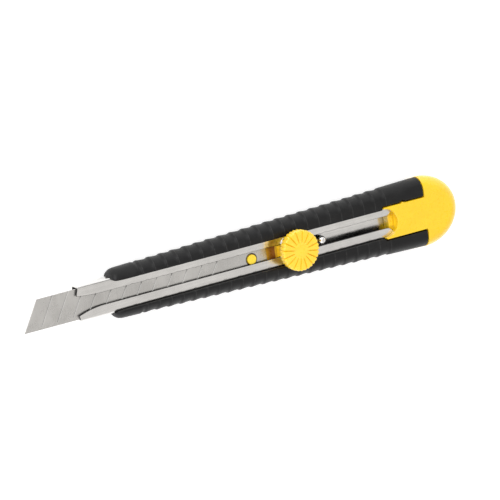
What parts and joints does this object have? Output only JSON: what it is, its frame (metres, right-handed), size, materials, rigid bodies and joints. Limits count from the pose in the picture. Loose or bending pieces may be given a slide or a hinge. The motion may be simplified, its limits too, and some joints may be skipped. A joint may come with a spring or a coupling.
{
  "type": "snap-off utility knife",
  "caption": "Slim snap-off utility knife: segmented blade in a slotted steel channel, ribbed soft grips, grooved lock wheel and rounded pull-off end cap.",
  "frame": {"origin": "below the middle of the knife's box at rest, on the plane that its back lies on", "axes": "+X from the blade's tip to the end cap, +Y towards the blade's spine, +Z out of the face with the slot and the lock wheel"},
  "size_m": [0.1468, 0.0216, 0.0119],
  "materials": {
    "blade_steel": "ground and polished tool steel",
    "channel_steel": "bright stainless sheet with a fine grain",
    "grip_rubber": "matt soft-touch elastomer",
    "core_plastic": "fine-textured black plastic",
    "yellow_plastic": "satin to glossy moulded plastic",
    "spring_steel": "rolled spring steel",
    "plated_steel": "bright nickel plating",
    "brass": "turned brass"
  },
  "bodies": {
    "handle": {"blade_channel": "channel_steel", "handle_core": "core_plastic", "grip_upper": "grip_rubber", "grip_lower": "grip_rubber"},
    "cap": {"end_cap": "yellow_plastic"},
    "slider": {"blade": "blade_steel", "blade_carrier": "yellow_plastic", "click_spring": "spring_steel", "click_pin": "plated_steel", "clamp_screw": "plated_steel"},
    "washer": {"clamp_washer": "plated_steel"},
    "wheel": {"lock_wheel": "yellow_plastic", "wheel_insert": "brass"}
  },
  "joints": [
    {"name": "blade_slide", "type": "slide", "parent": "handle", "child": "slider", "axis": [1, 0, 0], "range_m": [-0.045, 0.02]},
    {"name": "wheel_lift", "type": "slide", "parent": "slider", "child": "washer", "axis": [0, 0, 1], "range_m": [0, 0.0005]},
    {"name": "wheel_turn", "type": "hinge", "parent": "washer", "child": "wheel", "pos_m": [0.01465, 0, 0.006], "axis": [0, 0, 1], "range_deg": [0, 360]},
    {"name": "cap_pull", "type": "slide", "parent": "handle", "child": "cap", "axis": [1, 0, 0], "range_m": [0, 0.016]}
  ],
  "couplings": [
    {"joint": "wheel_turn", "follows": "wheel_lift", "rad_per_m": 12566}
  ]
}
